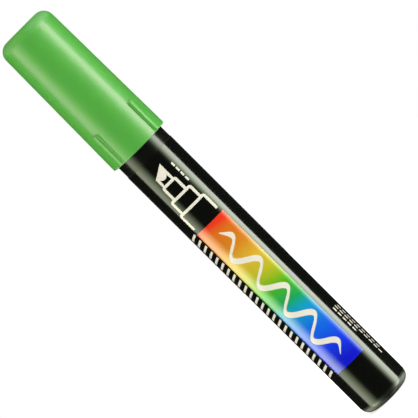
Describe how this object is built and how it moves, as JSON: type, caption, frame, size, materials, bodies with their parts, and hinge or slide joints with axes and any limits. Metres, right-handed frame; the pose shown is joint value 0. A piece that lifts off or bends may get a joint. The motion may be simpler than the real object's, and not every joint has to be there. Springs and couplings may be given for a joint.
{
  "type": "paint marker",
  "caption": "Acrylic paint marker: chisel nib and push valve in a stepped nose, closed barrel with a mixing ball, printed film and a push-on cap with grip ribs.",
  "frame": {"origin": "centre of the flat of the tail, where the marker stands", "axes": "+Z along the marker from tail to cap, -Y the front, where the label's print is centred, +X to the right of the front"},
  "size_m": [0.0186, 0.0186, 0.1397],
  "materials": {
    "barrel_plastic": "smooth black moulded plastic",
    "label_film": "glossy black printed film with a rainbow band and off-white marks",
    "ball_steel": "polished steel",
    "nose_plastic": "satin black moulded plastic",
    "ring_rubber": "black rubber",
    "nib_felt": "dense off-white felt, unused",
    "seal_rubber": "dark grey rubber",
    "housing_plastic": "natural white plastic",
    "plunger_plastic": "white slippery plastic",
    "spring_steel": "drawn stainless wire",
    "cup_plastic": "natural white plastic",
    "cap_plastic": "green moulded plastic with a soft gloss",
    "liner_plastic": "soft milky plastic"
  },
  "bodies": {
    "barrel": {"barrel": "barrel_plastic", "label_sleeve": "label_film", "nose_cone": "nose_plastic", "nose_seal": "ring_rubber", "valve_seal": "seal_rubber", "valve_housing": "housing_plastic", "valve_spring": "spring_steel", "spring_cup": "cup_plastic"},
    "cap": {"cap_shell": "cap_plastic", "inner_cap": "liner_plastic"},
    "nib": {"nib": "nib_felt"},
    "plunger": {"valve_plunger": "plunger_plastic"},
    "ball": {"mixing_ball": "ball_steel"}
  },
  "joints": [
    {"name": "cap_pull", "type": "slide", "parent": "barrel", "child": "cap", "axis": [0, 0, 1], "range_m": [0, 0.045]},
    {"name": "nib_press", "type": "slide", "parent": "barrel", "child": "nib", "axis": [0, 0, -1], "range_m": [0, 0.0018], "stiffness_N_per_m": 300},
    {"name": "plunger_press", "type": "slide", "parent": "barrel", "child": "plunger", "axis": [0, 0, -1], "range_m": [0, 0.0018], "deforming": ["valve_spring"]},
    {"name": "ball_travel", "type": "slide", "parent": "barrel", "child": "ball", "axis": [0, 0, 1], "range_m": [0, 0.0815]}
  ],
  "couplings": [
    {"joint": "plunger_press", "follows": "nib_press", "ratio": 1}
  ]
}
